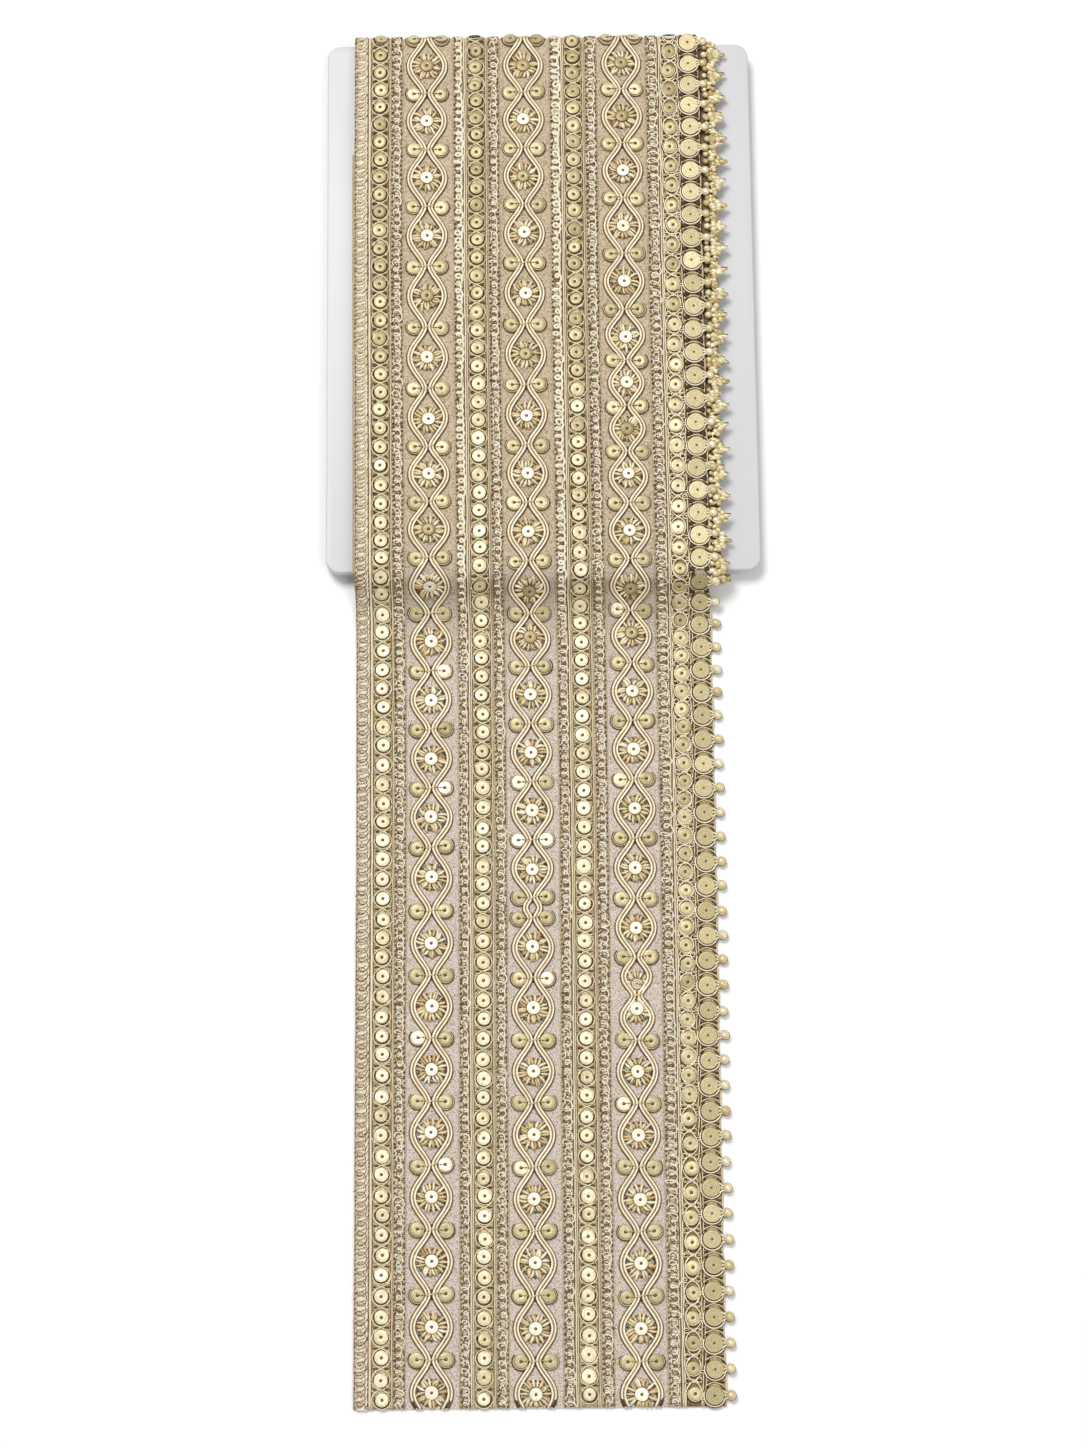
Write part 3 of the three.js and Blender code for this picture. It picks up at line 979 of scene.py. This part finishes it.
def scroll_band():
    r = rng(60)
    s = SCROLL_AT
    cords, sequins = Soup(), Soup()
    count = len(s)
    size = 1.95 + r.normal(0, 0.08, count)
    u = SCROLL_CENTRE + r.normal(0, 0.18, count)
    tone = shimmer(s, SCROLL_CENTRE, r) - 0.32 + 0.34 * ease(s, NEAR_EDGE, NEAR_EDGE + 20)
    tone = np.clip(tone, 0, 0.66)
    lay_sequins(sequins, s, u, 0.66, size, tone, tilts(r, count, 0.08))
    sequins.build("scroll_sequins", SEQUIN, "sequin")
    knots_in_holes(cords, s, u, 0.55)
    t = run_of(0.65)
    crossing_cords(cords, t, s, SCROLL_CENTRE, 2.2, 0.23, 0.4, 0.9, wander(r, t, 6, 0.16))
    turn_from = -205 + r.normal(0, 12)
    arcs(cords, s, u, 0.5, 2.06 + r.normal(0, 0.07, count), turn_from, 30, 0.2, 0.85, 11, 4)
    # Painted shade: a dark arc outside each sequin's bright cord.
    arcs(cords, s, u, 0.4, 2.34, -200, 20, 0.28, 0.04)
    gaps = (s[1:] + s[:-1]) / 2
    many = len(gaps)
    for side in (-1, 1):
        curl_u = SCROLL_CENTRE + side * (1.65 + r.normal(0, 0.2, many))
        bright = np.clip(r.normal(0.85, 0.12, many), 0, 1)
        arcs(cords, gaps + r.normal(0, 0.2, many), curl_u, 0.4, 0.72, 0, 330, 0.2, bright, 9, 4)
        # Painted shade: thick dark rungs in the gaps between sequins.
        rungs(cords, gaps, SCROLL_CENTRE + side * 1.3, 1.6, 0.24, 0.38, 0.03)
        lace_stitches(cords, gaps, SCROLL_CENTRE + side * 2.0, 0.6, r)
    arcs(cords, gaps, np.full(many, SCROLL_CENTRE), 0.5, 0.5, 0, 320, 0.16, 0.95, 7)
    t = run_of(1.4)
    # Each row is place across, radius and tone of a cord along the band. The dark rows are thin lines of
    # painted shade beside the bright cords.
    lines = [
        (90.75, 0.22, 0.9),
        (91.15, 0.14, 0.12),
        (95.75, 0.2, 0.85),
        (96.15, 0.15, 0.1),
        (96.5, 0.18, 0.8),
    ]
    for edge, wire, tone in lines:
        across = edge + 0.1 * np.sin(t * 0.8 + edge) + wander(r, t, 3, 0.08)
        cords.tubes(t, across, 0.27, wire, 4, tone)
    cords.build("scroll_cords", CORD, "cord", ["scroll_band"])


def bead(radius, rows=7):
    angle = np.linspace(0.3, math.pi - 0.3, rows)
    return np.stack([radius * np.sin(angle), radius * np.cos(angle)], -1)


def knob(radius, rows=6):
    """A small lump wound of thread: its rings stand proud of the grooves between."""
    return bead(radius, rows) * np.array([[0.86, 1.0], [1.0, 1.0]] * (rows // 2))


# Painted shade by ring: each lump is lightest near its top and dark towards its base.
KNOB_SHADE = np.array([-0.05, 0.12, 0.0, -0.25, -0.5, -0.6])


def bead_height(s):
    """Beads hang past the sheet's edge, and under the board they keep off the floor."""
    return 0.8 - 1.15 * beneath(s)


def hang_beads(beads, cords, s, u, radius, r):
    count = len(s)
    height = bead_height(s)
    tone = r.uniform(0.5, 0.9, count)
    size = radius * (1 - 0.14 * ease(s, NEAR_EDGE - 5, NEAR_EDGE + 10) * (1 - beneath(s)))
    shapes = np.array([bead(each) for each in size])
    beads.turned(s, u, height, shapes, 14, tilts(r, count, 0.2), tone, False)
    # Painted shade: a brown ring round each bead's rim.
    arcs(cords, s, u, height[:, None] - 0.05, size + 0.06, -120, 120, 0.15, 0.34, 9)
    part = np.linspace(0, 1, 5)
    for side in (-1, 1):
        neck_u = u[:, None] - 2.3 + (1.3 + radius * 0.6) * part
        neck_s = s[:, None] + side * (1.35 - 0.95 * np.sin(part * math.pi / 2))
        cords.tubes(neck_s, neck_u, height[:, None] + 0.15, 0.24, 4, 0.95)
    stem = np.linspace(-2.0, -0.9, 3)
    cords.tubes(s[:, None] + 0 * stem, u[:, None] + stem, height[:, None] + 0.1, 0.34, 5, 0.8)


def bead_edging():
    """Large sequins in cord rings, each with a bead sewn out past the edge."""
    r = rng(70)
    s = LARGE_AT
    count = len(s)
    discs, cords, beads = Soup(), Soup(), Soup()
    on_board = ease(s, NEAR_EDGE - 10, NEAR_EDGE + 10)
    size = 2.62 + 0.13 * on_board + r.normal(0, 0.04, count)
    profile = np.array([ridged_disc(radius) for radius in size])
    u = LARGE_SEQUINS + r.normal(0, 0.1, count)
    tone = 0.38 + 0.1 * on_board + r.normal(0, 0.03, count)
    discs.turned(s, u, 0.8, profile, 20, tilts(r, count, 0.04), shaded(tone, RIDGE_SHADE), True)
    discs.build("edging_sequins", SEQUIN, "sequin", ["bead_edging"])
    arcs(cords, s, u, 0.55, 3.0 + r.normal(0, 0.05, count), -205, 25, 0.25, 0.97, 15, 5)
    peak = np.array([[2.3, -2.75], [3.2, -1.7], [3.75, -0.1], [3.3, 1.6], [2.3, 2.75]])
    over = np.where(s > NEAR_EDGE, 0.92, 1.0)[:, None]
    cords.tubes(s[:, None] + over * peak[:, 0], u[:, None] + peak[:, 1], 0.4, 0.17, 4, 0.8)
    # Painted shade: dark arcs round each large sequin, thicker on the board.
    arcs(cords, s, u, 0.62, 2.74, -240, -10, 0.2 * shade_swell(s)[:, None], 0.03, 13)
    arcs(cords, s, u, 0.3, 3.3, -240, 60, 0.2 * shade_swell(s)[:, None], 0.05, 13)
    knots_in_holes(cords, s, u, 0.68)
    gaps = (s[1:] + s[:-1]) / 2
    # Painted shade: near-black wedges in the gaps between large sequins, wider on the board.
    wedge = np.linspace(-0.85, 0.85, 3)
    swell = np.where(gaps > NEAR_EDGE - 12, 0.9, 0.34)[:, None] * np.array([0.8, 1.0, 0.25])
    for side in (-1, 1):
        at = LARGE_SEQUINS + side * (1.85 - wedge) + 0 * gaps[:, None]
        cords.tubes(gaps[:, None] + 0.1 + 0 * wedge, at, 0.1, swell, 5, 0.01)
    for step in (0.0, 0.7):
        rungs(cords, s - 0.9 + step, 95.85, 1.7, 0.55, 0.17, 0.9)
        # Painted shade: a dark rung beside each bright one.
        rungs(cords, s - 0.55 + step, 95.85, 1.5, 0.5, 0.15, 0.08)
    drop_s = s + r.normal(0, 0.15, count)
    drop_u = BEAD_CENTRE + r.normal(0, 0.1, count)
    hang_beads(beads, cords, drop_s, drop_u, 1.34, r)
    beads.build("edging_beads", BEAD, "sequin")
    r = rng(71)
    t = run_of(1.2)
    hem = HEM_CORD + HEM_SWING * np.sin(t / HEM_WAVE) + wander(r, t, 5, 0.1)
    cords.tubes(t, hem, 0.14, 0.2, 4, 0.7)
    cords.build("edging_cords", CORD, "cord")


def flat_strip(t, low, high, top):
    """Rings of a thin strip along the trim, just clear of the net."""
    corners = ((low, 0.03), (low, top), (high, top), (high, 0.03))
    return np.stack([place(t, u, h) for u, h in corners], 1)[None]


def inner_turns():
    """Clustered drops of the turn wound beneath, where they show beside the outer one."""
    r = rng(80)
    start = PLACES["front_1"]
    s = stepped(start - 6.0, [(FOREVER, 6.9)], start + BOARD_LENGTH)
    # One more is crumpled against the board's near edge.
    s = np.insert(s, 1, start - 2.6)
    beads, cords, ground = Soup(), Soup(), Soup()
    count = len(s)
    hang_beads(beads, cords, s, BEAD_CENTRE - 0.3 + r.normal(0, 0.15, count), 1.1, r)
    # Each row is place along, place across and radius of one lump of a cluster.
    cluster = [
        (-1.1, 102.9, 0.75),
        (1.1, 102.8, 0.8),
        (-2.5, 101.6, 0.75),
        (-0.8, 101.2, 0.9),
        (1.2, 101.0, 0.9),
        (3.0, 101.8, 0.8),
        (-2.2, 99.6, 0.85),
        (0.1, 99.5, 0.9),
        (2.4, 99.4, 0.85),
    ]
    for along_by, u, radius in cluster:
        spots = s + along_by + r.normal(0, 0.3, count)
        at = u + r.normal(0, 0.22, count)
        lumps = np.array([knob(radius * grow) for grow in r.uniform(0.9, 1.35, count)])
        tone = shaded(r.uniform(0.3, 0.85, count), KNOB_SHADE)
        height = 0.95 + r.normal(0, 0.15, count)
        beads.turned(spots, at, height, lumps, 8, tilts(r, count, 0.45), tone, False)
    # Each row is where a leaf of thread starts, along and across, and its length.
    leaves = [
        (-3.0, 99.5, 2.6),
        (-2.0, 100.5, 2.7),
        (-1.0, 101.7, 2.6),
        (0.0, 102.9, 2.5),
        (0.9, 101.6, 2.7),
        (2.0, 100.4, 2.7),
        (3.1, 99.5, 2.6),
        (0.0, 100.2, 2.6),
    ]
    part = np.linspace(0, 1, 6)
    for along_by, u, length in leaves:
        from_s = s[:, None] + along_by + r.normal(0, 0.25, (count, 1))
        lean = -0.22 * along_by + r.normal(0, 0.35, (count, 1))
        reach = length * (1 + r.normal(0, 0.12, (count, 1)))
        height = 0.65 + 0.4 * np.sin(part * math.pi) + r.normal(0, 0.12, (count, 1))
        swell = np.array([0.35, 0.62, 0.7, 0.62, 0.45, 0.18]) * r.uniform(0.8, 1.2, (count, 1))
        bright = r.uniform(0.35, 0.9, count)
        beads.tubes(from_s + lean * part, u + reach * part, height, swell, 5, bright)
        # Painted shade: a near-black strand beside each leaf.
        beads.tubes(from_s + lean * part + 0.45, u + reach * part * 0.9, height + 0.1, 0.24, 3, 0.02)
    beads.build("second_turn_beads", BEAD, "sequin", ["under_edging"])
    curls = np.repeat(s, 3) + r.normal(0, 2.0, 3 * count)
    at = np.clip(101.6 + r.normal(0, 1.0, len(curls)), 99.0, 102.6)
    size = 0.5 + 0.3 * r.random(len(curls))
    bright = np.clip(r.normal(0.75, 0.2, len(curls)), 0, 1)
    arcs(cords, curls, at, 1.1, size, 0, 300, 0.16, bright, 9, 4)
    cords.build("second_turn_cords", CORD, "cord")
    # Painted shade: a dark strip under the drops of the turn beneath, showing between them.
    t = np.arange(start - 6, start + BOARD_LENGTH, 2.0)
    ground.loft(flat_strip(t, 96.0, 102.4, 0.2), 0.12)
    ground.build("second_turn_ground_in_painted_shade", PAD, "thread")


# Ground: the net and the stitches laid on it.


def net_sheet():
    length = STATIONS[-1, 0]
    s = np.unique(np.concatenate([np.arange(0, length, 2.0), STATIONS[:, 0]]))
    s = s[np.append(np.diff(s) > 0.15, True)]
    u = np.linspace(0, SHEET_WIDTH, 14)
    grid_s, grid_u = np.meshgrid(s, u, indexing="ij")
    r = rng(7)
    edge = HEM_SWING * np.sin(s / HEM_WAVE) * 0.6 + 0.1 * np.sin(s / 1.9)
    grid_u = grid_u + np.where(grid_u > SHEET_WIDTH - 1, edge[:, None], 0)
    ripple = r.normal(0, 0.03, grid_u.shape)
    points = place(grid_s, grid_u, ripple).reshape(-1, 3)
    rows, columns = grid_u.shape
    index = np.arange(rows * columns).reshape(rows, columns)
    faces = np.stack([index[:-1, :-1], index[:-1, 1:], index[1:, 1:], index[1:, :-1]], -1)
    # By tone: painted shadow darkens the net from the fall onto the board, and on the board it is
    # browner too, where the layers beneath show through.
    doubled = ease(grid_s, NEAR_EDGE - 3, NEAR_EDGE + 9)
    shadow = 0.5 * ease(grid_s, NEAR_EDGE - 36, NEAR_EDGE - 12)
    tones = (1 - shadow - 0.5 * doubled).ravel()
    return add_piece("net", points, faces.reshape(-1, 4).tolist(), tones, NET, ["trim_ground"])


def board_piece():
    """The card, with softened edges and a faint line where its top layer ends."""
    x, y, r = BOARD_WIDTH / 2, BOARD_LENGTH / 2, BOARD_CORNER
    outline = []
    for cx, cy, start in ((x, y, 0), (-x, y, 90), (-x, -y, 180), (x, -y, 270)):
        for step in range(9):
            angle = math.radians(start + step * 90 / 8)
            middle = (cx - math.copysign(r, cx), cy - math.copysign(r, cy))
            outline.append((*middle, math.cos(angle), math.sin(angle)))
    # Each row is how far the side is drawn in, and the height above the board's underside.
    profile = [(0.25, 0.0), (0.08, 0.08), (0.0, 0.25), (0.0, 2.2), (0.05, 2.32)]
    profile += [(0.0, 2.45), (0.0, 2.7), (0.1, 2.9), (0.45, BOARD_THICKNESS)]
    rings = []
    for inset, z in profile:
        reach = r - inset
        ring = [(px + reach * c, py + reach * d + BOARD_Y, BOARD_BASE + z) for px, py, c, d in outline]
        rings.append(ring)
    soup = Soup()
    soup.loft(np.array(rings)[None, ::-1], 0.5)
    soup.build("wound_board", BOARD, "board", ["board"])


def stitched_ground():
    """Close stitches under each sequin row and under the edging."""
    soup = Soup()
    t = run_of(2.4)
    strips = [(centre - 2.8, centre + 2.8, 0.75) for centre in SEQUIN_ROWS]
    strips += [(90.9, 96.6, 0.26), (96.7, 101.7, 0.52)]
    strips += [(low + 0.2, high - 0.2, 0.95) for low, high in THREAD_BANDS] + [(*EDGE_BRAID, 1.0)]
    for low, high, tone in strips:
        soup.loft(flat_strip(t, low, high, 0.1), tone)
    soup.build("ground_stitches", PAD, "thread")


def clothe():
    board_piece()
    net = net_sheet()
    stitched_ground()
    for index, centre in enumerate(SEQUIN_ROWS, 1):
        small_sequins(index, centre)
    for index, (centre, first, runs) in enumerate(OGEE_COLUMNS, 1):
        ogee_column(index, centre, first, runs)
    for index, (low, high) in enumerate(THREAD_BANDS, 1):
        thread_band(index, low, high)
    edge_braid()
    scroll_band()
    bead_edging()
    inner_turns()


# Camera, floor and light. The camera's place is in millimetres and its turns in degrees.

CAMERA_AT = (-11.6, -426.489, 1109.685)
CAMERA_DOWN = 74.839
CAMERA_YAW = 2.104
CAMERA_ROLL = 1.567
LENS = 100.0
WORLD_LIGHT = 0.37
# Each lamp's name, place and diameter in metres, and power in watts.
LAMPS = [
    ("key", (-0.5, 0.75, 1.6), 0.85, 23.5),
    ("fill", (0.9, -0.6, 1.6), 1.4, 12),
]


def camera():
    down, yaw, roll = (math.radians(v) for v in (CAMERA_DOWN, CAMERA_YAW, CAMERA_ROLL))
    look = Vector((math.sin(yaw) * math.cos(down), math.cos(yaw) * math.cos(down), -math.sin(down)))
    right = Vector((math.cos(yaw), -math.sin(yaw), 0))
    up = right.cross(look)
    across = math.cos(roll) * right + math.sin(roll) * up
    upright = -math.sin(roll) * right + math.cos(roll) * up
    data = bpy.data.cameras.new("camera")
    data.sensor_fit = "VERTICAL"
    data.sensor_height = 36.0
    data.lens = LENS
    data.clip_start = 0.01
    data.clip_end = 20
    obj = bpy.data.objects.new("camera", data)
    turn = Matrix((across, upright, -look)).transposed().to_4x4()
    x, y, z = CAMERA_AT
    obj.matrix_world = Matrix.Translation((x * MM, (y + BOARD_Y) * MM, z * MM)) @ turn
    bpy.context.scene.collection.objects.link(obj)
    bpy.context.scene.camera = obj


def floor():
    bpy.ops.mesh.primitive_plane_add(size=6)
    plane = bpy.context.object
    plane.name = "floor"
    n = Nodes("floor_white")
    n.set(Base_Color=(0.9, 0.9, 0.9, 1), Roughness=0.9)
    plane.data.materials.append(n.material)


def area_light(name, place_at, size, power):
    """A round lamp that faces the origin."""
    data = bpy.data.lights.new(name, "AREA")
    data.shape = "DISK"
    data.size = size
    data.energy = power
    obj = bpy.data.objects.new(name, data)
    obj.location = place_at
    obj.rotation_euler = (-Vector(place_at)).to_track_quat("-Z", "Y").to_euler()
    bpy.context.scene.collection.objects.link(obj)


def lights():
    world = bpy.data.worlds.new("studio")
    bpy.context.scene.world = world
    world.use_nodes = True
    background = world.node_tree.nodes["Background"]
    background.inputs["Color"].default_value = (1, 1, 1, 1)
    background.inputs["Strength"].default_value = WORLD_LIGHT
    for lamp in LAMPS:
        area_light(*lamp)


clothe()
camera()
floor()
lights()
view = bpy.context.scene.view_settings
view.view_transform = "Standard"
